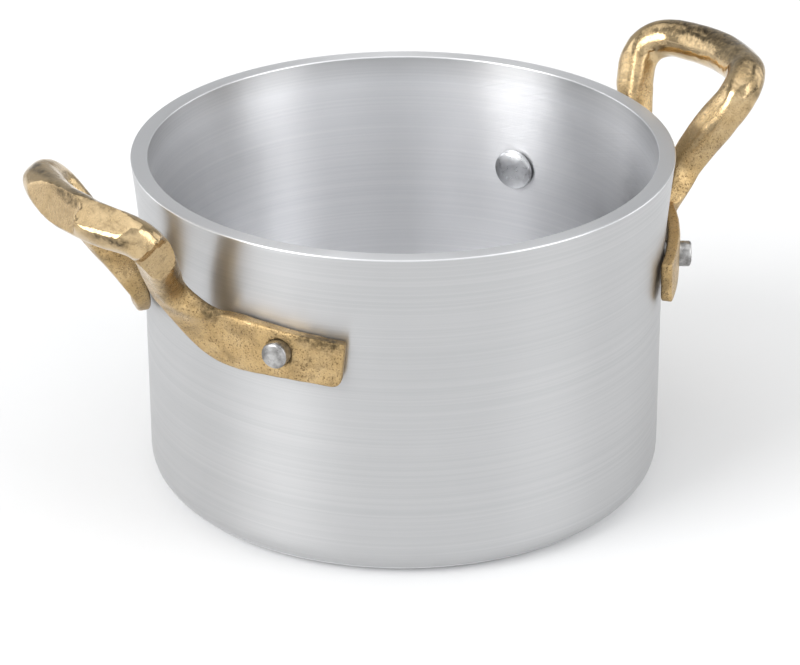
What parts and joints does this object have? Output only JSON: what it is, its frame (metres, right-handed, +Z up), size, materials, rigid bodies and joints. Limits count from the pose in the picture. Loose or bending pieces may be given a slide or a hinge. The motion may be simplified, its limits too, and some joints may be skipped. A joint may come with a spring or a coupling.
{
  "type": "stock pot",
  "caption": "Small round straight-sided aluminium cooking pot, open at the top, with loop handles of cast brass riveted to its wall.",
  "frame": {"origin": "centre of the flat base, on the surface that the pot stands on", "axes": "+Z up along the pot's axis, +X towards the right handle, -X towards the left handle"},
  "size_m": [0.1412, 0.096, 0.0709],
  "materials": {
    "pot_aluminium": "satin, finely turned",
    "handle_brass": "cast, partly polished",
    "rivet_aluminium": "hammered"
  },
  "bodies": {
    "root": {"pot_body": "pot_aluminium", "right_handle": "handle_brass", "left_handle": "handle_brass", "right_front_rivet": "rivet_aluminium", "right_back_rivet": "rivet_aluminium", "left_back_rivet": "rivet_aluminium", "left_front_rivet": "rivet_aluminium"}
  },
  "joints": []
}
